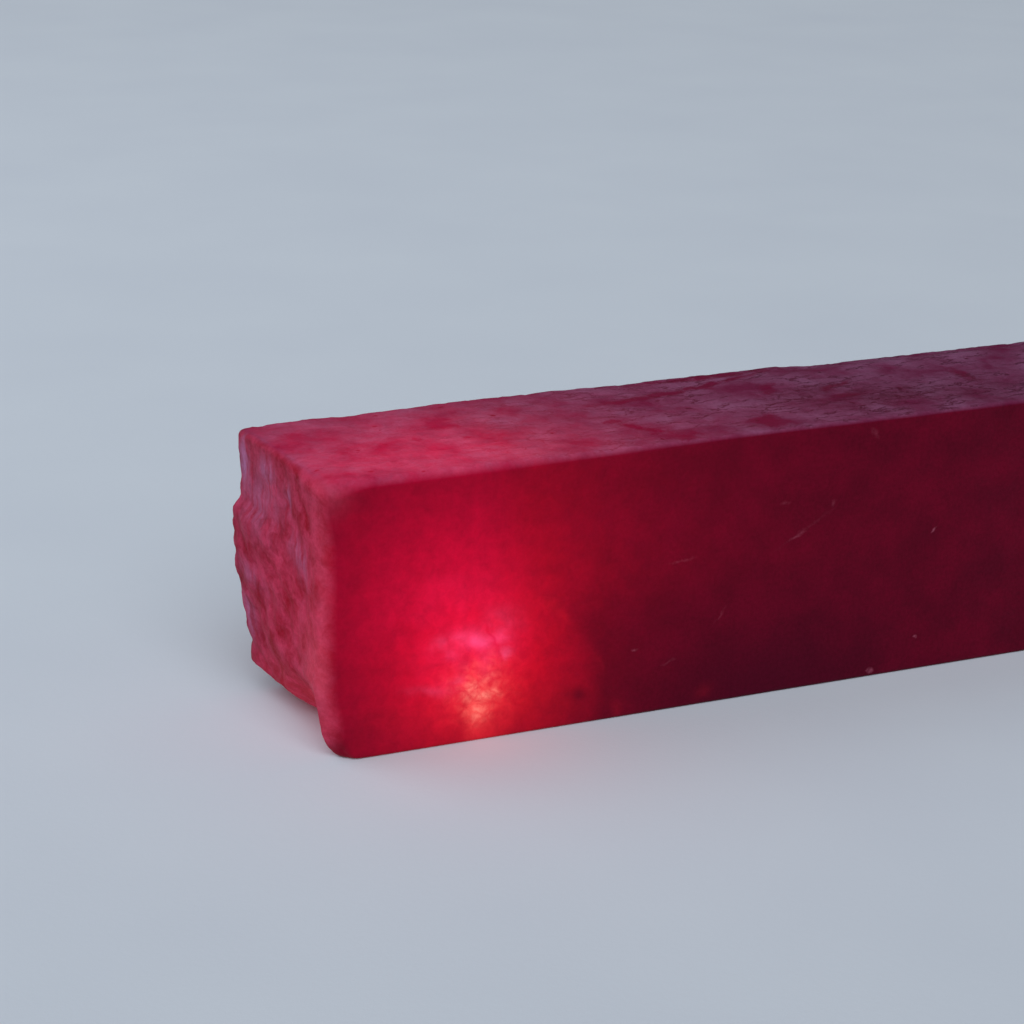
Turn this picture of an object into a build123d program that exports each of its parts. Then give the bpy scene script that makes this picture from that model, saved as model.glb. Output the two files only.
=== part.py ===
"""A sawn bar of rough ruby: one long, nearly square piece of translucent red stone.

Frame: X runs along the bar from its broken end (-X) to its sawn end (+X), Y runs from
the ground front face (-Y) to the back face (+Y), and Z is up.  The origin is the centre
of the bar's box, on the plane that the bar lies on.  All sizes are in millimetres.

The stone is a single crystal mass, so almost all of it is one solid.  The one separate
body in it is a dark mineral grain that the crystal grew around.  It fills its own
cavity a few millimetres behind the front face and can't move.
"""

from build123d import *
import os

# Driving dimensions of the sawn block.
bar_length = 140.0
bar_depth = 27.0
bar_height = 35.0

# Edges: nearly sharp along the bar, round where the front face meets the broken end.
top_edge_radius = 1.0
front_corner_radius = 3.6
back_corner_radius = 1.4
foot_corner_radius = 4.2
sawn_end_bevel = 0.6

# The broken end: a low scab stands out of it, and its foot is undercut.
scab_height = 1.8
scab_front = 11.0
scab_bottom = 7.0
scab_top = 27.5
scab_corner_radius = 4.0
scab_taper = 40
undercut_rise = 5.2
undercut_run = 6.0
undercut_front = 3.4

# A long thin flake lost from the back edge of the top face: where its middle is, its
# length along the edge, how far it reaches over the top, and how far down the back.
flake_from_end = 103.0
flake_length = 60.0
flake_width = 4.5
flake_depth = 0.65

# The dark grain, measured from the broken end, the front face and the base.
grain_from_end = 35.2
grain_behind_front = 3.0
grain_above_base = 3.6
grain_radius = 0.9
grain_length = 2.4
grain_bevel = 0.4

# Places worked out from the sizes above.
clear = 1.0
end_plane = -bar_length / 2 + scab_height
front_plane = -bar_depth / 2
back_plane = bar_depth / 2

# A conchoidal flake leaves part of a large ball.  These are the radii of the ball's
# two circles, on the top face and on the back face, from each one's chord and rise.
flake_half = flake_length / 2
top_circle = (flake_half**2 + flake_width**2) / (2 * flake_width)
back_circle = (flake_half**2 + flake_depth**2) / (2 * flake_depth)
ball_behind = top_circle - flake_width
ball_above = back_circle - flake_depth
ball_radius = (top_circle**2 + ball_above**2) ** 0.5


def upright_edges(block):
    """The two upright edges of the block's broken end, front one first."""
    return block.edges().filter_by(Axis.Z).group_by(Axis.X)[0].sort_by(Axis.Y)


# The dark grain: a stubby eight-sided crystal with bevelled ends, lying along X.
grain_middle = Plane(
    origin=(
        end_plane + grain_from_end,
        front_plane + grain_behind_front,
        grain_above_base,
    ),
    x_dir=(0, 1, 0),
    z_dir=(1, 0, 0),
)
with BuildPart() as grain:
    with BuildSketch(grain_middle):
        RegularPolygon(radius=grain_radius, side_count=8)
    extrude(amount=grain_length / 2, both=True)
    for end in (0, -1):
        chamfer(grain.faces().sort_by(Axis.X)[end].edges(), length=grain_bevel)

with BuildPart() as bar:
    # The sawn block, with its broken end's corners rounded and its top edges eased.
    with BuildSketch(Plane.YZ.offset(end_plane)):
        with Locations((0, bar_height / 2)):
            Rectangle(bar_depth, bar_height)
    extrude(amount=bar_length - scab_height)
    chamfer(bar.faces().sort_by(Axis.X)[-1].edges(), length=sawn_end_bevel)
    fillet(upright_edges(bar)[0], radius=front_corner_radius)
    fillet(upright_edges(bar)[-1], radius=back_corner_radius)
    top_edges = bar.edges().filter_by(Axis.X).group_by(Axis.Z)[-1]
    fillet(top_edges, radius=top_edge_radius)

    # The scab: a raised plate of stone on the broken end, with sloping sides.
    scab_back = back_plane - back_corner_radius
    scab_width = scab_back - (front_plane + scab_front)
    scab_place = (scab_back - scab_width / 2, (scab_bottom + scab_top) / 2)
    with BuildSketch(Plane.YZ.offset(end_plane)):
        with Locations(scab_place):
            RectangleRounded(scab_width, scab_top - scab_bottom, scab_corner_radius)
    extrude(amount=-scab_height, taper=scab_taper)

    # The foot corner: what lies outside a quarter round is worn away.
    with BuildSketch(Plane.XZ.offset(-back_plane - clear)):
        with Locations((end_plane, 0)):
            Rectangle(2 * foot_corner_radius, 2 * foot_corner_radius)
        with Locations((end_plane + foot_corner_radius, foot_corner_radius)):
            Circle(foot_corner_radius, mode=Mode.SUBTRACT)
    extrude(amount=bar_depth + 2 * clear, mode=Mode.SUBTRACT)

    # The undercut: a wedge broken away under the end, short of the front corner.
    with BuildSketch(Plane.XZ.offset(-back_plane - clear)):
        with BuildLine():
            Polyline(
                (end_plane - clear, -clear),
                (end_plane + undercut_run, -clear),
                (end_plane + undercut_run, 0),
                (end_plane, undercut_rise),
                (end_plane - clear, undercut_rise),
                close=True,
            )
        make_face()
    extrude(amount=bar_depth + clear - undercut_front, mode=Mode.SUBTRACT)

    # The lost flake, as the ball's shallow bite out of the back edge of the top.
    ball_centre = (
        end_plane + flake_from_end,
        back_plane + ball_behind,
        bar_height + ball_above,
    )
    with Locations(ball_centre):
        Sphere(ball_radius, mode=Mode.SUBTRACT)

    # The cavity that the grain fills.
    add(grain.part, mode=Mode.SUBTRACT)

bar.part.label = "ruby_bar"
grain.part.label = "dark_inclusion"

os.makedirs("parts", exist_ok=True)
for piece in (bar.part, grain.part):
    export_step(piece, f"parts/{piece.label}.step")
    print(piece.label, round(piece.volume, 2), "mm3")
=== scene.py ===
"""A sawn bar of rough ruby lying on pale paper, with a painted glow, standing for a small lamp's
light, inside its broken end.
"""

from math import radians

import bpy
import numpy as np
from mathutils import Matrix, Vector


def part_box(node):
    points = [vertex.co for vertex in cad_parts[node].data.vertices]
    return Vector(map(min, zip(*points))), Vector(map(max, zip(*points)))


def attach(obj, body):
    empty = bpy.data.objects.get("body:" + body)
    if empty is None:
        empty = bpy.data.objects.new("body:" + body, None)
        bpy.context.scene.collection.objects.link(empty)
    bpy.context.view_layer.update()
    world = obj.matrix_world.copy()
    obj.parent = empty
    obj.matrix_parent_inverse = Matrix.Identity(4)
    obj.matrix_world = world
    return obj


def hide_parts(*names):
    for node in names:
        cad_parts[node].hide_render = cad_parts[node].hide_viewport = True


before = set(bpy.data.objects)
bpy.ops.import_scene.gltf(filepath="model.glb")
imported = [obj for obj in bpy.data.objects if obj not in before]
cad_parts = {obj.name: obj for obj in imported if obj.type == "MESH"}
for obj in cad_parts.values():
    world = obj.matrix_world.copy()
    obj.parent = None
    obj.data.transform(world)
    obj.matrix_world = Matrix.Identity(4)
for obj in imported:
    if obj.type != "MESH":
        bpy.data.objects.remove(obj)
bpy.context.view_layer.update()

mm = 0.001

# The camera: a long lens at arm's length, looking down along the front face from its
# broken end.  It is tipped by a degree, as a hand holds it.
camera = bpy.data.objects.new("camera", bpy.data.cameras.new("camera"))
bpy.context.scene.collection.objects.link(camera)
bpy.context.scene.camera = camera
camera.data.lens = 105.6
camera.data.sensor_width = 36.0
camera.data.clip_start = 10 * mm
camera_turn = Matrix.Rotation(radians(-25.89), 4, "Z")
camera_tilt = Matrix.Rotation(radians(90 - 18.03), 4, "X")
camera_tip = Matrix.Rotation(radians(1.18), 4, "Z")
camera_place = Matrix.Translation((-192.6 * mm, -320.1 * mm, 139.7 * mm))
camera.matrix_world = camera_place @ camera_turn @ camera_tilt @ camera_tip

# The ruby bar: one piece of rough stone, sawn square and ground smooth on its front.
# Its far end is sawn, and its near end is broken, hackly and undercut at the foot.
# Its shape is worked out in mm: length from the broken end's plane, depth from the front
# face and height from the base.  The raised scab on the break stands out past the plane.
low, high = (np.array(corner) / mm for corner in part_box("ruby_bar"))
sizes = high - low
scab_height = 1.8
bar_depth, bar_height = sizes[1], sizes[2]


def s_curve(t):
    """Rises from 0 to 1 as t does, and starts and ends level: 3 t squared less 2 t cubed."""
    t = np.clip(t, 0, 1)
    return t * t * (3 - 2 * t)


def fade(distance, start, end):
    """1 up to the start distance, 0 from the end distance on, and an S-curve between them."""
    return 1 - s_curve((distance - start) / (end - start))


def cell_lines(length, near_cell, middle_cell, far_cell):
    """Where the grid's lines cross one side: cells grow from both ends towards the middle.
    The count of cells up to a place is the sum of 1 / cell size, and the lines cut it evenly."""
    place = np.linspace(0, length, 4001)
    cell = middle_cell + (near_cell - middle_cell) * fade(place, 1, 12)
    cell += (far_cell - middle_cell) * fade(length - place, 1, 4)
    count = np.concatenate([[0], np.cumsum(np.diff(place) / cell[1:])])
    lines = np.linspace(0, count[-1], int(np.ceil(count[-1])) + 1)
    return np.interp(lines, count, place)


def lumps(a, b, seed):
    """Smooth random lumps one unit across, from -1 to 1: a random number at each point of a
    square lattice, and S-curve blends between the four around a place."""
    table = np.random.default_rng(seed).uniform(-1, 1, (101, 103))
    column, row = np.floor(a).astype(int), np.floor(b).astype(int)
    across, along = s_curve(a - column), s_curve(b - row)
    corner = [[table[(column + i) % 101, (row + j) % 103] for j in (0, 1)] for i in (0, 1)]
    near = corner[0][0] * (1 - along) + corner[0][1] * along
    far = corner[1][0] * (1 - along) + corner[1][1] * along
    return near * (1 - across) + far * across


def rough(a, b, seed, layers=4):
    """Lumps on lumps: each layer is half as large and half as high as the one before."""
    return sum(lumps(a * 2**k, b * 2**k, seed + k) / 2**k for k in range(layers)) / 2


def broken_end(depth, height):
    """How far the break lies behind the end's plane: an undercut foot, a lean, a raised
    scab with a steep upper ledge, a high back corner, and a hackly surface all over."""
    behind_toe = s_curve((depth - 2.2) / 2.0)
    foot_height = 9.6 - 5.2 * s_curve((depth - 9) / 7)
    foot = 6.2 * np.clip(1 - height / foot_height, 0, 1) ** 1.3 * behind_toe
    lean = 0.9 * fade(height, 4, 12) * s_curve((depth - 3) / 8)
    lean += 0.3 * s_curve((height - 4) / 5) * fade(height, 9, 17) * s_curve((depth - 15) / 8)
    lean += 0.6 * fade(height, 4, 9) * s_curve((height + 1) / 5) * fade(depth, 2, 5)
    edge = 26.2 + 0.5 * rough(depth / 5, height / 5, 11)
    plate = s_curve((edge - height) / 2.0) * s_curve((height - 10.5) / 11)
    scab = scab_height * plate * s_curve((depth - 9 + 2 * rough(depth / 4, height / 4, 5)) / 13)
    corner = 0.5 * s_curve((height - 24) / 4) * s_curve((depth - 12) / 12)
    along = 0.82 * depth + 0.57 * height
    across = 0.57 * depth - 0.82 * height
    steps = (1 - np.abs(lumps(along / 7, across / 3.2, 23))) ** 4
    hackles = 0.5 * rough(along / 9, across / 5, 31) + 0.4 * rough(depth / 2.4, height / 2.4, 21)
    hackles += 0.12 + 0.3 * steps
    inside = s_curve((np.minimum(depth, bar_height - height) - 0.5) / 6)
    return foot + lean - scab - corner + hackles * (0.12 + 0.88 * inside)


def top_relief(length, depth):
    """How far the top lies below its plane: a shallow flake with a small step, low ripples
    and ledges, and chips along the back edge, deepest over its far half."""
    behind_step = depth - 18.1 - (length - 45.3) * 0.273
    flake = s_curve((length - 44) / 8) * fade(length, 68, 76) * s_curve(behind_step / 0.7)
    ripples = 0.5 + rough(length / 9, depth / 4, 41)
    ledges = (1 - np.abs(lumps(length / 7, depth / 3, 47))) ** 8 * s_curve((depth - 2) / 3)
    edge_chips = 0.06 + 0.14 * fade(length, 18, 28) + 0.45 * s_curve((length - 74) / 8)
    edge_chips += 0.2 * np.abs(rough(length / 2.2, depth / 9, 53))
    near_back = s_curve((depth - bar_depth + 4.5) / 3.5)
    return 0.12 * flake + 0.06 * ripples + 0.12 * ledges + edge_chips * near_back


# Cell sizes at the near side, in the middle and at the far side, in mm
x_lines = cell_lines(sizes[0], 0.34, 0.54, 0.4)
y_lines = cell_lines(sizes[1], 0.3, 0.46, 0.3)
z_lines = cell_lines(sizes[2], 0.3, 0.46, 0.3)
line_counts = np.array([len(x_lines), len(y_lines), len(z_lines)])

# Six sides share one lattice of lines, so a corner on two sides has one number.
squares = []
for axis in range(3):
    second, third = (axis + 1) % 3, (axis + 2) % 3
    spans = [np.arange(line_counts[a] - 1) for a in (second, third)]
    i, j = np.meshgrid(*spans, indexing="ij")
    turn = [(0, 0), (1, 0), (1, 1), (0, 1)]
    for level, order in ((0, turn[::-1]), (line_counts[axis] - 1, turn)):
        corners = np.zeros((i.size, 4, 3), int)
        corners[:, :, axis] = level
        for c, (di, dj) in enumerate(order):
            corners[:, c, second] = i.ravel() + di
            corners[:, c, third] = j.ravel() + dj
        squares.append(corners)
lattice_places = tuple(np.concatenate(squares).reshape(-1, 3).T)
lattice_numbers = np.ravel_multi_index(lattice_places, line_counts)
used, squares = np.unique(lattice_numbers, return_inverse=True)
squares = squares.reshape(-1, 4)
column, row, level = np.unravel_index(used, line_counts)
sharp = np.stack([x_lines[column], y_lines[row], z_lines[level]], axis=1)

# Rounded edges: each corner of the box is part of an ellipsoid, and its radius along each
# axis changes smoothly from place to place.  The near end's edges are the roundest, most of
# all at the toe, which is the foot of its front corner.
length, depth, height = sharp.T
near_end = fade(length, 1, 7)
front_side = fade(depth, 3, 14)
toe = fade(height, 4, 12) * fade(depth, 3, 6)
crown = fade(bar_height - height, 3, 9)
soft_edge = crown * front_side * fade(length, 15, 60)
radius_y = 0.5 + 0.7 * soft_edge + near_end * (0.7 + 1.4 * front_side)
radius_x = 1.4 + 2.2 * front_side
radius_x += crown * (1.1 + 0.7 * front_side - radius_x) + toe * (4.4 - radius_x)
radius_x += s_curve((length - sizes[0] / 2) / 10) * (0.6 - radius_x)
radius_z = 0.4 + 0.2 * crown + 0.6 * soft_edge
radius_z += near_end * crown * (0.3 + 0.7 * front_side) + fade(length, 1, 5) * toe * 3.9
radii = np.stack([radius_x, radius_y, radius_z], axis=1)
inner = np.clip(sharp, radii, sizes - radii)
outward = (sharp - inner) / radii
outward /= np.linalg.norm(outward, axis=1, keepdims=True)
stone = inner + radii * outward

# The break is carried into the stone and dies out 16 mm behind the end, and the top's relief
# dies out 7 mm below it.  The front and back are ground flat to a few hundredths of a mm.
length, depth, height = stone.T.copy()
stone[:, 0] += (scab_height + broken_end(depth, height)) * fade(length, 0, 16)
length = stone[:, 0] - scab_height
stone[:, 2] -= top_relief(length, depth) * s_curve((height - bar_height + 7) / 7)
stone[:, 1] += 0.04 * rough(length / 14, height / 9, 61)

bar_mesh = bpy.data.meshes.new("ruby_bar_stone")
bar_mesh.from_pydata(((stone + low) * mm).tolist(), [], squares.tolist())
bar_mesh.polygons.foreach_set("use_smooth", np.ones(len(squares), bool))
bar = bpy.data.objects.new("ruby_bar_stone", bar_mesh)
bpy.context.scene.collection.objects.link(bar)

# What the stone's material reads at each point.  up, down and to_end say how much the
# surface faces that way.
up = np.clip(outward[:, 2], 0, 1)
down = np.clip(-outward[:, 2], 0, 1)
to_end = np.clip(-outward[:, 0], 0, 1)
length, depth, height = (stone - [scab_height, 0, 0]).T
at_front = fade(depth, 0.5, 6)


def distance_from(x, y, z):
    """How far each point of the surface is from a place in the stone, in mm."""
    return np.sqrt((length - x) ** 2 + (depth - y) ** 2 + (height - z) ** 2)


def blots(a, b, spots):
    """Soft oval spots: each is its strength times the bell curve of a distance measured in
    half-lengths and half-widths, and where they overlap the strongest one counts.  A spot
    has a middle, half length, half width, tilt in degrees and strength."""
    strength = np.zeros(len(a))
    for middle_a, middle_b, half_length, half_width, tilt, weight in spots:
        c, s = np.cos(radians(tilt)), np.sin(radians(tilt))
        along = ((a - middle_a) * c + (b - middle_b) * s) / half_length
        across = ((b - middle_b) * c - (a - middle_a) * s) / half_width
        strength = np.maximum(strength, weight * np.exp(-(along**2) - across**2))
    return strength


# A painted glow, set into the bar's emission, stands for a small lamp shining into the stone
# from behind, near the broken end.  Its painted light comes from two places, the flaws that the
# beam strikes and the clouded stone above them, and a faint haze runs along the bar.  Each falls
# off with its own distance, and has its own red.
beam = 6.3 * np.exp(-distance_from(20.1, 9.3, 9.0) / 3.9)
cloud = 0.94 * np.exp(-distance_from(16.0, 9.1, 19.7) / 9.3)
haze = 0.088 * np.exp(-distance_from(20.0, 9.0, 26.0) / 26)
painted_glow = beam[:, None] * [1, 0.004, 0.015] + cloud[:, None] * [1, 0.001, 0.045]
painted_glow += haze[:, None] * [1, 0.003, 0.04]
painted_glow[:, 2] -= 0.03 * cloud * s_curve((length - 20) / 10)

# The painted glow is dimmed past the beam's far edge, which is quite sharp on the front face,
# and inside it a painted sheet of light stands on the base, with an upright edge towards the break.
beam_edge = np.hypot(length - 19.5, height - 3.0)
past_edge = s_curve((beam_edge - 15.5) / 3.5) * fade(height, 12, 20) * s_curve((length - 22) / 6)
painted_glow *= (1 - 0.5 * past_edge * at_front)[:, None]
painted_light_sheet = s_curve((length - 18.1) / 0.9) * fade(length, 20, 27) * fade(height, 3.5, 7) * at_front
painted_glow += painted_light_sheet[:, None] * [0.12, 0.007, 0.006]
painted_glow[:, 1] += 0.007 * beam * fade(height, 3, 9)

# The painted glow is brighter on the top near the break, and dimmer on the base and the break.
out_of_top = 0.68 - 0.42 * s_curve((depth - 3) / 14) + 0.5 * fade(length, 0, 12)
out_of_top = 1 + up * out_of_top - 0.5 * down
out_of_end = 1 - 0.5 * to_end * s_curve((depth + 2) / 10)
painted_glow *= (out_of_top * out_of_end)[:, None]

# Painted glow: clouds of fine needles catch the beam just inside the front face, and streaks
# catch it at its far edge.  The dark grain's soft shadow is painted into the glow.
uneven = rough(length / 1.4, height / 1.4, 81)
painted_needle_glow = at_front * (0.8 + 0.9 * uneven) * blots(length + 0.5 * uneven, height + 0.4 * uneven, [
    (15.3, 13.3, 1.0, 0.8, 0, 0.75),
    (16.3, 12.4, 1.4, 0.9, -35, 0.4),
    (18.4, 13.6, 2.2, 1.0, 8, 0.5),
    (20.4, 13.2, 1.9, 1.0, -12, 0.75),
    (22.9, 13.4, 1.6, 1.1, 0, 0.6),
    (23.4, 15.2, 2.2, 1.5, 0, 0.4),
    (23.9, 11.0, 0.9, 0.7, 0, 1.0),
    (17.5, 8.2, 1.0, 0.5, 10, 0.5),
    (14.0, 7.5, 2.6, 0.6, -8, 0.3),
    (21.8, 9.6, 2.2, 1.2, 65, 0.4),
])
painted_pink_glow = at_front * (1 + 0.8 * uneven) * blots(length, height, [
    (19.5, 12.0, 5.5, 3.5, 8, 1.0),
    (18.0, 18.0, 8.0, 5.0, 0, 0.25),
    (17.5, 8.5, 3.0, 2.5, 0, 0.6),
])
painted_glow += painted_pink_glow[:, None] * [0.03, 0.008, 0.036]
painted_streak_glow = at_front * (0.8 + uneven) * blots(length, height + uneven, [
    (30.0, 16.5, 1.4, 0.7, -40, 0.8),
    (31.6, 14.8, 1.2, 0.4, -50, 1.0),
    (34.5, 15.3, 0.8, 0.5, 0, 0.4),
    (36.6, 8.2, 1.3, 0.4, -60, 0.35),
    (39.6, 1.4, 1.6, 0.8, -20, 0.5),
    (51.8, 1.8, 1.2, 0.9, 0, 0.35),
])
painted_glow[:, 0] = np.minimum(painted_glow[:, 0], 0.82)
painted_glow += np.clip(painted_needle_glow, 0, 2)[:, None] * [0.09, 0.048, 0.12]
painted_glow += np.clip(painted_streak_glow, 0, 2)[:, None] * [0.11, 0.002, 0.003]
painted_grain_shadow = at_front * blots(length, height, [(34.1, 3.9, 1.0, 0.8, -25, 0.62)])
painted_glow *= (1 - painted_grain_shadow)[:, None]

# Painted glints: flaws that glitter where the beam strikes them
painted_flaw_glints = at_front * blots(length, height, [
    (19.6, 7.2, 1.0, 0.7, 0, 1.0),
    (20.8, 5.8, 1.4, 0.7, -20, 1.0),
    (19.2, 6.1, 1.0, 1.1, 0, 0.7),
    (20.3, 4.2, 1.7, 1.8, 0, 0.5),
    (20.6, 7.2, 3.4, 3.2, 0, 0.26),
    (22.3, 6.2, 1.5, 0.5, -25, 0.55),
    (21.5, 8.0, 1.1, 0.6, 30, 0.5),
])

# The bloom is a greyish-violet film on the top, and its pale colour is also a painted sheen of
# the sky.  It has chipped off in places, with ragged edges, and worn off along a step in the
# back half.
ragged_a = length + 0.9 * rough(length / 2.2, depth / 2.2, 71)
ragged_b = depth + 0.9 * rough(length / 2.2, depth / 2.2, 73)
bare = blots(ragged_a, ragged_b, [
    (62.0, 3.6, 1.9, 3.2, -20, 1.4),
    (48.5, 2.4, 2.2, 2.4, 0, 0.8),
    (43.6, 10.8, 1.7, 0.7, 0, 1.3),
    (45.0, 7.6, 0.7, 3.4, 30, 1.2),
    (34.3, 9.4, 1.6, 0.6, 0, 0.7),
    (23.6, 11.3, 0.6, 0.7, 0, 1.2),
    (17.7, 12.9, 0.7, 0.7, 0, 0.6),
    (69.0, 17.0, 1.2, 3.4, -30, 0.9),
    (78.5, 15.3, 3.4, 0.8, 30, 1.2),
    (77.5, 10.5, 2.2, 1.2, 0, 0.9),
    (96.7, 13.5, 1.3, 3.2, 0, 1.2),
    (64.5, 25.6, 10.5, 1.0, 0, 1.6),
    (52.5, 19.2, 8.0, 1.0, 8, 1.4),
    (65.0, 22.2, 10.0, 0.7, 17, 1.5),
    (23.0, 16.3, 4.0, 1.1, -5, 0.5),
    (8.0, 11.2, 2.6, 1.2, 10, 0.6),
])
film_and_sheen = np.clip(1 - bare, 0, 1)

# The top is crusty, brown and pitted in the half away from the break.
crust = blots(length, depth, [
    (82.0, 8.5, 13.0, 4.5, 0, 1.0),
    (74.0, 13.0, 9.0, 3.5, 20, 0.7),
    (96.0, 5.0, 8.0, 4.0, 0, 0.7),
])

# Frosting: pale crushed stone on the high places of the break and along its front corner,
# partly a painted highlight there
frost_and_highlight = blots(depth, height, [
    (24.5, 30.5, 1.8, 3.5, 0, 1.0),
    (19.0, 27.5, 6.0, 4.0, 0, 0.45),
    (17.2, 31.6, 2.2, 1.7, 20, 0.8),
    (11.5, 30.0, 1.2, 2.0, 0, 0.6),
    (7.5, 23.5, 3.5, 2.2, 30, 0.5),
    (21.5, 17.5, 4.0, 1.6, 10, 0.4),
    (24.5, 11.0, 1.6, 3.0, 0, 0.7),
])

# The front corner is worn pale, and so is the front part of the break, where a painted glow
# also stands for light coming out of the stone's thin toe.
on_end = s_curve((to_end - 0.5) / 0.45)
painted_toe_glow = on_end * blots(depth, height, [
    (2.5, 11.0, 5.0, 5.0, 0, 0.8),
    (12.0, 4.0, 12.0, 3.5, 0, 0.8),
])
painted_glow += painted_toe_glow[:, None] * [0.1, 0.009, 0.015]
worn = on_end * blots(depth, height, [
    (2.8, 10.5, 4.0, 6.0, 10, 1.0),
    (0.5, 22.0, 2.5, 18.0, 0, 0.6),
])
worn_edge = 0.5 * fade(length, -0.8, 1.8) * fade(depth, 1, 4)
worn_corner = blots(length, height, [(0.5, 34.0, 2.6, 2.6, 0, 0.5)]) * fade(depth, 0, 6)
worn = np.maximum(worn, np.maximum(worn_edge, worn_corner))

# Darker and bluer low down in the middle of the bar, towards the front.
darker_low_middle = blots(length, height, [(60.0, 1.5, 19.0, 8.0, 0, 0.9)]) * fade(depth, 10, 24)


def keep_on_mesh(mesh, name, kind, values):
    """Stores a number or a colour for each point of a mesh, for its material to read."""
    layer = mesh.attributes.new(name, kind, "POINT")
    field = "color" if kind == "FLOAT_COLOR" else "value"
    layer.data.foreach_set(field, values.astype(np.float32).ravel())


painted_glow = np.concatenate([painted_glow, np.ones((len(stone), 1))], axis=1)
keep_on_mesh(bar_mesh, "painted_glow", "FLOAT_COLOR", painted_glow)
surface_values = {"up": up, "to_end": to_end, "painted_flaw_glints": painted_flaw_glints, "film_and_sheen": film_and_sheen}
surface_values.update({"crust": crust, "frost_and_highlight": frost_and_highlight, "worn": worn, "darker_low_middle": darker_low_middle})
for name, values in surface_values.items():
    keep_on_mesh(bar_mesh, name, "FLOAT", values)


def light_colour(code):
    """The linear red, green, blue and 1 of an sRGB hex colour."""
    values = [int(code[i : i + 2], 16) / 255 for i in (1, 3, 5)]
    return [v / 12.92 if v <= 0.04045 else ((v + 0.055) / 1.055) ** 2.4 for v in values] + [1]


def add(kind, inputs, out=0, **settings):
    """Adds one node to the material in hand, whose nodes are called nodes.  Its inputs are
    values or other nodes' outputs, listed in the node's own order or given by name, and it
    hands back its first output unless out names another."""
    node = nodes.new("ShaderNode" + kind)
    for name, value in settings.items():
        setattr(node, name, value)
    for name, value in inputs.items() if isinstance(inputs, dict) else enumerate(inputs):
        if isinstance(value, bpy.types.NodeSocket):
            node.id_data.links.new(value, node.inputs[name])
        else:
            node.inputs[name].default_value = value
    return node.outputs[out]


# Ruby rough: corundum coloured by chrome, clouded by fine needles.  It is nearly opaque in
# daylight, deep crimson to maroon, with a satin gloss where it was ground.
ruby = bpy.data.materials.new("ruby_rough")
ruby.use_nodes = True
nodes = ruby.node_tree.nodes
shader = nodes["Principled BSDF"]
coordinates = add("TexCoord", {}, out="Object")
to_corner = -(low + [scab_height, 0, 0])
place = add("Mapping", {"Vector": coordinates, "Location": to_corner, "Scale": [1 / mm] * 3})
seen = {name: add("Attribute", {}, out="Fac", attribute_name=name) for name in surface_values}

# Small random shifts make lines and patches wavy.
shifts = add("TexNoise", {"Vector": place, "Scale": 1 / 1.8, "Detail": 3.0}, out="Color")
shifts = add("VectorMath", [shifts, (0.5, 0.5, 0.5)], operation="SUBTRACT")
shifts = add("VectorMath", {0: shifts, "Scale": 1.6}, operation="SCALE")
wavy = add("VectorMath", [place, shifts], operation="ADD")

# Daylight colours of the ground faces: maroon, with duller clouds a few mm across
clouds = add("TexNoise", {"Vector": place, "Scale": 1 / 7, "Detail": 6.0, "Roughness": 0.6})
cloudy = add("MapRange", [clouds, 0.38, 0.62])
ground = add("MixRGB", [cloudy, light_colour("#59061e"), light_colour("#690622")])
ground = add("MixRGB", [seen["darker_low_middle"], ground, light_colour("#46071e")])
# Faces turned up get a bluer maroon: partly the top's own colour, partly a painted sheen of the sky.
ground = add("MixRGB", [seen["up"], ground, light_colour("#680a34")])

# The bloom: a mottled greyish-violet film with a painted sheen of the sky in its colour,
# flaked off where a finer noise is low
mottling = add("TexNoise", {"Vector": wavy, "Scale": 1 / 7, "Detail": 8.0, "Roughness": 0.58})
mottled = add("MapRange", [mottling, 0.34, 0.66])
bloom_and_sheen = add("MixRGB", [mottled, light_colour("#671f40"), light_colour("#85506f")])
flaking = add("TexNoise", {"Vector": wavy, "Scale": 1 / 3.2, "Detail": 8.0, "Roughness": 0.78})
film_and_sheen_share = add("Math", [flaking, 3.2, seen["film_and_sheen"]], operation="MULTIPLY_ADD")
film_and_sheen_share = add("Math", [mottling, 0.6, film_and_sheen_share], operation="MULTIPLY_ADD")
film_and_sheen_share = add("MapRange", [film_and_sheen_share, 1.95, 2.6])
facing_up = add("MapRange", [seen["up"], 0.15, 0.95])
film_and_sheen_share = add("Math", [film_and_sheen_share, facing_up], operation="MULTIPLY")
skin = add("MixRGB", [film_and_sheen_share, ground, bloom_and_sheen])
crust_share = add("MapRange", [flaking, 0.38, 0.6, 0.85, 0.15])
crust_share = add("Math", [crust_share, seen["crust"]], operation="MULTIPLY")
skin = add("MixRGB", [crust_share, skin, light_colour("#50172c")])

# Dark creases run along the top, where a stretched noise crosses its middle value; their dark
# colour is partly bare stone where the film is missing and partly painted shade in the crease.
# They are stronger away from the break.
crease_place = add("Mapping", {"Vector": wavy, "Scale": (1 / 9, 1 / 2.6, 1 / 9)})
creases = add("TexNoise", {"Vector": crease_place, "Scale": 1.0, "Detail": 5.0, "Roughness": 0.6})
creases = add("Math", [creases, 0.5], operation="SUBTRACT")
creases = add("Math", [creases], operation="ABSOLUTE")
creases = add("MapRange", [creases, 0.002, 0.022, 1.0, 0.0])
crease_share = add("MapRange", [clouds, 0.42, 0.54])
crease_share = add("Math", [crease_share, seen["crust"]], operation="MAXIMUM")
along_bar = add("SeparateXYZ", [place])
far_share = add("MapRange", [along_bar, 20.0, 60.0, 0.25, 1.0])
crease_share = add("Math", [crease_share, far_share], operation="MULTIPLY")
creases = add("Math", [creases, crease_share], operation="MULTIPLY")

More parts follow.
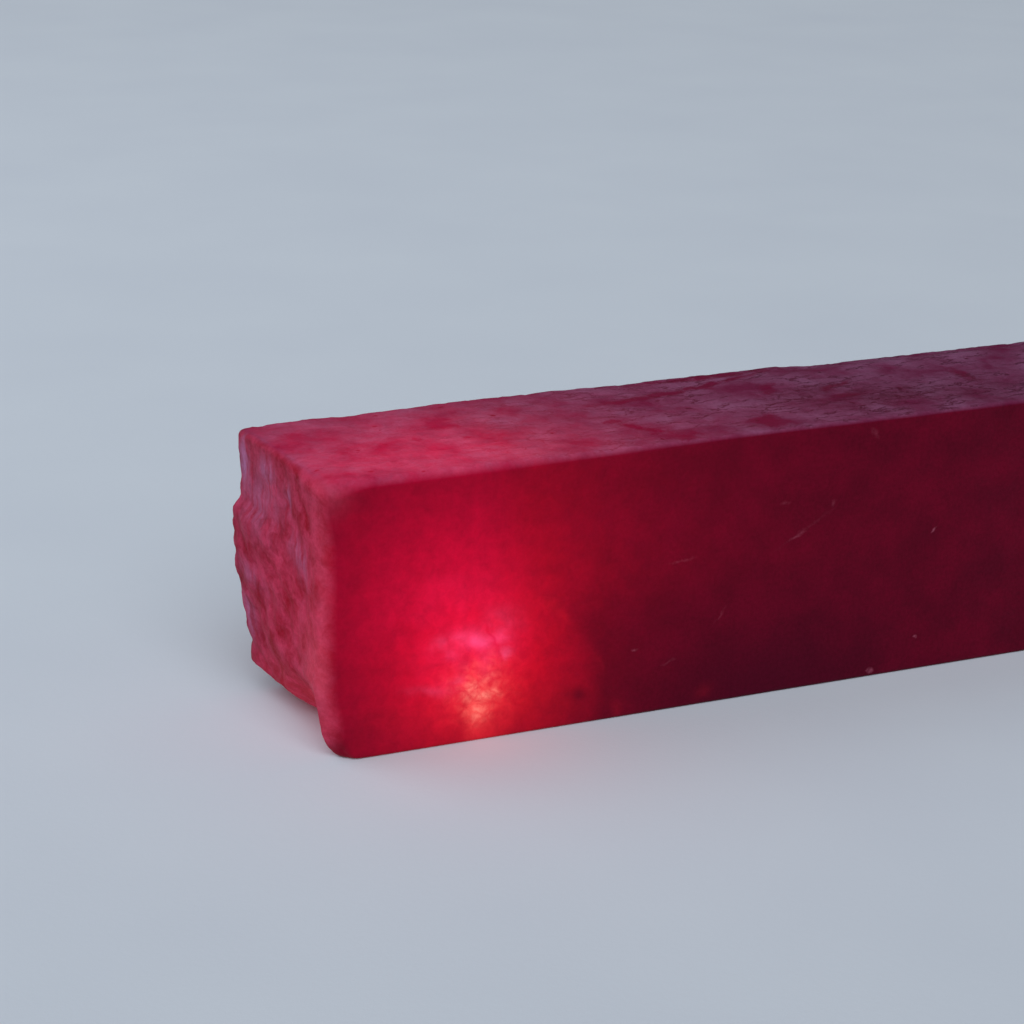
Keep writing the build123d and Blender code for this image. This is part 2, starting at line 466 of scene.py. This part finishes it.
# Small dark pits, their darkness partly painted shade, stand in some cells of a pattern with
# cells 1.9 mm across.
pit_cells = add("TexVoronoi", {"Vector": wavy, "Scale": 1 / 1.9})
pit_sizes = add("TexVoronoi", {"Vector": wavy, "Scale": 1 / 1.9}, out="Color")
pit_sizes = add("SeparateXYZ", [pit_sizes])
pit_sizes = add("MapRange", [pit_sizes, 0.7, 1.0, 0.0, 0.26])
pits = add("Math", [pit_sizes, pit_cells], operation="SUBTRACT")
pits = add("MapRange", [pits, 0.0, 0.12])
bloom_gaps_and_shade = add("Math", [creases, pits], operation="MAXIMUM")
on_top = add("MapRange", [seen["up"], 0.6, 0.95])
bloom_gaps_and_shade = add("Math", [bloom_gaps_and_shade, on_top], operation="MULTIPLY")
gap_and_shade_share = add("Math", [bloom_gaps_and_shade, 0.75], operation="MULTIPLY")
skin = add("MixRGB", [gap_and_shade_share, skin, light_colour("#4a0a22")])

# The break: crimson splinters and facets, whose dark tone in the low places of the fine relief
# is partly painted shade, frosted in streaks on the high places, which are partly painted
# highlights
splinter_turn = add("Mapping", {"Vector": wavy, "Rotation": (radians(-35), 0, 0)})
splinter_place = add("Mapping", {"Vector": splinter_turn, "Scale": (1 / 3, 1 / 3.4, 1 / 2.2)})
splinters = add("TexNoise", {"Vector": splinter_place, "Scale": 1.0, "Detail": 8.0, "Roughness": 0.66})
facets = add("TexVoronoi", {"Vector": splinter_place, "Scale": 1.1}, out="Color")
facets = add("SeparateXYZ", [facets])
break_tone = add("Math", [facets, 0.1, splinters], operation="MULTIPLY_ADD")
crimson_and_shade = add("MapRange", [break_tone, 0.4, 0.7])
crimson_and_shade = add("MixRGB", [crimson_and_shade, light_colour("#781424"), light_colour("#b23c5a")])
streak_shape = {"Rotation": (radians(12), 0, 0), "Scale": (1 / 3, 1 / 1.1, 1 / 6)}
streak_place = add("Mapping", {"Vector": wavy, **streak_shape})
streaks = add("TexNoise", {"Vector": streak_place, "Scale": 1.0, "Detail": 6.0, "Roughness": 0.6})
frost_and_highlight_share = add("MapRange", [streaks, 0.38, 0.58, 0.15, 0.95])
frost_and_highlight_share = add("Math", [frost_and_highlight_share, seen["frost_and_highlight"]], operation="MULTIPLY")
break_colour = add("MixRGB", [frost_and_highlight_share, crimson_and_shade, light_colour("#b27aa4")])
break_share = add("MapRange", [seen["to_end"], 0.4, 0.9])
skin = add("MixRGB", [break_share, skin, break_colour])
worn_share = add("MapRange", [splinters, 0.3, 0.6, 0.5, 1.0])
worn_share = add("Math", [worn_share, seen["worn"]], operation="MULTIPLY")
skin = add("MixRGB", [worn_share, skin, light_colour("#a2465c")])

# The far end is as the saw left it: slightly frosted, with fine marks across it.  The wave
# has about one band per unit, and a pitch of 1.1 mm is as fine as shows in a view of it.
far_end = sizes[0] - scab_height
saw_pitch = 1.1
saw_shape = {"Rotation": (radians(14), 0, 0), "Scale": [1 / saw_pitch] * 3}
saw_place = add("Mapping", {"Vector": place, **saw_shape})
saw_wave = {"Vector": saw_place, "Scale": 1 / 3.14, "Distortion": 2.5, "Detail": 4.0}
saw_marks = add("TexWave", saw_wave, out="Fac", bands_direction="Z")
saw_marks = add("MapRange", [saw_marks, 0.0, 1.0, 0.12, 0.26])
sawn = add("MapRange", [along_bar, far_end - 0.5, far_end - 0.1])
sawn = add("Math", [sawn, saw_marks], operation="MULTIPLY")
skin = add("MixRGB", [sawn, skin, light_colour("#8d3f58")])

# Specks half a millimetre across make all of it uneven.
specks = add("TexNoise", {"Vector": place, "Scale": 1 / 0.5, "Detail": 3.0, "Roughness": 0.7})
speckle = add("MapRange", [specks, 0.3, 0.7, 0.84, 1.16])
skin = add("VectorMath", {0: skin, "Scale": speckle}, operation="SCALE")


def marks(spots, half_depth, core):
    """Soft oval marks in the front: each fades out from its core with the distance from its
    middle, measured in half-lengths and half-widths, and the strongest one counts.  A spot
    has a middle, half length, half width, tilt in degrees and strength."""
    strongest = 0.0
    for x, z, half_length, half_width, tilt, strength in spots:
        shape = {"Location": (x, 0, z), "Rotation": (0, radians(-tilt), 0)}
        shape["Scale"] = (half_length, half_depth, half_width)
        near = add("Mapping", {"Vector": wavy, **shape}, vector_type="TEXTURE")
        near = add("VectorMath", [near], out="Value", operation="LENGTH")
        near = add("MapRange", [near, core, 1.3, strength, 0.0])
        strongest = add("Math", [strongest, near], operation="MAXIMUM")
    return strongest


# Pale bruises and scratches on the ground front
bruises = marks([
    (64.2, 20.6, 1.3, 0.25, 24, 0.4),
    (65.5, 21.5, 4.5, 0.25, 29, 0.08),
    (84.9, 19.1, 0.6, 0.2, 35, 0.7),
    (82.9, 4.5, 0.3, 0.25, 0, 0.9),
    (76.2, 0.8, 0.6, 0.4, 0, 0.8),
    (47.9, 19.6, 1.8, 0.2, 5, 0.18),
    (46.4, 6.5, 1.0, 0.2, 8, 0.2),
    (41.6, 8.7, 0.4, 0.25, 0, 0.4),
    (53.6, 11.6, 1.2, 0.15, 52, 0.15),
    (69.6, 24.5, 0.5, 0.35, 60, 0.2),
    (62.4, 25.3, 0.7, 0.3, 0, 0.15),
    (75.0, 33.0, 0.9, 0.35, -50, 0.18),
], half_depth=4, core=0.2)
crushed = add("MapRange", [specks, 0.4, 0.6, 0.35, 1.0])
bruises = add("Math", [bruises, crushed], operation="MULTIPLY")
skin = add("MixRGB", [bruises, skin, light_colour("#a8566c")])
ruby.node_tree.links.new(skin, shader.inputs["Base Color"])

# The painted glow goes into the emission, in place of a lamp's light coming out, through veils
# of needles and past dark healed cracks, which darken it with painted shade.  The flaws glitter
# with it in painted glints, cell by cell.
cracks = marks([
    (22.1, 12.9, 3.6, 0.3, -64, 0.8),
    (16.6, 10.3, 3.6, 0.5, -86, 0.45),
    (12.0, 15.4, 3.0, 0.8, -29, 0.4),
    (25.6, 4.3, 2.4, 0.3, -33, 0.5),
    (19.0, 11.0, 2.2, 1.6, 20, 0.3),
], half_depth=6, core=0.1)
veils = add("TexNoise", {"Vector": wavy, "Scale": 1 / 2.4, "Detail": 8.0, "Roughness": 0.7})
veiled = add("MapRange", [veils, 0.3, 0.7, 0.76, 1.24])
light = add("Attribute", {}, out="Color", attribute_name="painted_glow")
light = add("VectorMath", {0: light, "Scale": veiled}, operation="SCALE")
cells = add("TexVoronoi", {"Vector": wavy, "Scale": 1 / 1.3}, feature="DISTANCE_TO_EDGE")
cells = add("MapRange", [cells, 0.0, 0.3, 0.45, 1.0])
glitter = add("MapRange", [veils, 0.35, 0.65, 0.4, 1.6])
glitter = add("Math", [glitter, cells], operation="MULTIPLY")
glitter = add("Math", [glitter, seen["painted_flaw_glints"]], operation="MULTIPLY")
flaw_light = add("VectorMath", {0: (0.3, 0.25, 0.18), "Scale": glitter}, operation="SCALE")
light = add("VectorMath", [light, flaw_light], operation="ADD")
light = add("MixRGB", [cracks, light, (0.84, 0.3, 0.55, 1)], blend_type="MULTIPLY")
light = add("VectorMath", [light, (0.98, 1.0, 1.0)], operation="MINIMUM")
ruby.node_tree.links.new(light, shader.inputs["Emission Color"])
shader.inputs["Emission Strength"].default_value = 1.0

# Gloss: satin on the ground faces, dull on the bloom and the break
dull = add("Math", [film_and_sheen_share, break_share], operation="MAXIMUM")
gloss = add("MapRange", [dull, 0.0, 1.0, 0.42, 0.62])
ruby.node_tree.links.new(gloss, shader.inputs["Roughness"])
shader.inputs["IOR"].default_value = 1.76
shader.inputs["Specular IOR Level"].default_value = 0.025

# Fine relief, too small for the mesh
bloom_relief = add("Math", [film_and_sheen_share, 0.25, mottling], operation="MULTIPLY_ADD")
bloom_relief = add("Math", [bloom_gaps_and_shade, -0.5, bloom_relief], operation="MULTIPLY_ADD")
crust_relief = add("Math", [seen["crust"], 1.5], operation="MULTIPLY")
bloom_relief = add("Math", [flaking, crust_relief, bloom_relief], operation="MULTIPLY_ADD")
relief = add("MixRGB", [break_share, bloom_relief, break_tone])
bump_share = add("MapRange", [dull, 0.0, 1.0, 0.05, 0.7])
bump = add("Bump", {"Strength": bump_share, "Distance": 0.4 * mm, "Height": relief})
ruby.node_tree.links.new(bump, shader.inputs["Normal"])
bar_mesh.materials.append(ruby)

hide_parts("ruby_bar")
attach(bar, "root")

# The dark grain: a speck of another mineral sealed inside the stone, which shows only as a
# shadow painted into the bar's glow.  It keeps the mesh of its CAD solid, and only its material
# is given here.  Rutile is near black, and its red-brown sheen where the cleavage catches the
# light is painted into its colour by a noise.
rutile = bpy.data.materials.new("rutile")
rutile.use_nodes = True
nodes = rutile.node_tree.nodes
rutile_shader = nodes["Principled BSDF"]
rutile_place = add("TexCoord", {}, out="Object")
cleavage = add("TexNoise", {"Vector": rutile_place, "Scale": 1 / (0.4 * mm), "Detail": 4.0})
painted_cleavage_sheen = add("MapRange", [cleavage, 0.4, 0.6])
painted_cleavage_sheen = add("MixRGB", [painted_cleavage_sheen, light_colour("#140808"), light_colour("#3a120e")])
rutile.node_tree.links.new(painted_cleavage_sheen, rutile_shader.inputs["Base Color"])
cleavage_gloss = add("MapRange", [cleavage, 0.4, 0.6, 0.25, 0.45])
rutile.node_tree.links.new(cleavage_gloss, rutile_shader.inputs["Roughness"])
for slot in bpy.data.objects["dark_inclusion"].material_slots:
    slot.material = rutile

# The paper: a wide pale sheet of drawing paper under the bar.  It is matt and faintly blue,
# its pulp is slightly uneven in tone, and its surface has a tooth just under 1 mm across.
paper_mesh = bpy.data.meshes.new("paper")
reach = 4000 * mm
paper_corners = [(-reach, -reach, 0), (reach, -reach, 0), (reach, reach, 0), (-reach, reach, 0)]
paper_mesh.from_pydata(paper_corners, [], [(0, 1, 2, 3)])
paper = bpy.data.objects.new("paper", paper_mesh)
bpy.context.scene.collection.objects.link(paper)
drawing_paper = bpy.data.materials.new("drawing_paper")
drawing_paper.use_nodes = True
nodes = drawing_paper.node_tree.nodes
paper_shader = nodes["Principled BSDF"]
paper_place = add("TexCoord", {}, out="Object")
pulp = add("TexNoise", {"Vector": paper_place, "Scale": 1 / (40 * mm), "Detail": 2.0})
pulp = add("MixRGB", [pulp, light_colour("#d9e0e7"), light_colour("#e1e8ed")])
drawing_paper.node_tree.links.new(pulp, paper_shader.inputs["Base Color"])
tooth_size = {"Scale": 1 / (0.9 * mm), "Detail": 3.0, "Roughness": 0.7}
tooth = add("TexNoise", {"Vector": paper_place, **tooth_size})
tooth = add("Bump", {"Strength": 0.35, "Distance": 0.08 * mm, "Height": tooth})
drawing_paper.node_tree.links.new(tooth, paper_shader.inputs["Normal"])
paper_shader.inputs["Roughness"].default_value = 0.9
paper_mesh.materials.append(drawing_paper)

# Daylight: a dull sky all round, a wide bright cloud high behind the camera, and a window
# beyond the broken end.  Only the cloud's direction counts, as it is endlessly far away.
sky = bpy.data.worlds.new("sky")
bpy.context.scene.world = sky
sky.use_nodes = True
sky_light = sky.node_tree.nodes["Background"]
sky_light.inputs["Color"].default_value = light_colour("#dbe2e8")
sky_light.inputs["Strength"].default_value = 0.15


def hang_lamp(name, kind, place, **settings):
    """Adds a lamp at a place, turned towards the bar, with its settings."""
    lamp = bpy.data.objects.new(name, bpy.data.lights.new(name, kind))
    bpy.context.scene.collection.objects.link(lamp)
    for setting, value in settings.items():
        setattr(lamp.data, setting, value)
    lamp.location = place
    lamp.rotation_euler = lamp.location.to_track_quat("Z", "Y").to_euler()


cloud_white = light_colour("#f2f6ff")[:3]
window_white = light_colour("#e9f2ff")[:3]
hang_lamp("bright_cloud", "SUN", (-0.5, -1.0, 1.1), energy=2.02, angle=1.0, color=cloud_white)
window_shape = {"size": 600 * mm, "shape": "DISK"}
hang_lamp("window", "AREA", (-0.5, 0.35, 0.6), energy=1.4, color=window_white, **window_shape)
bpy.context.scene.view_settings.view_transform = "Standard"
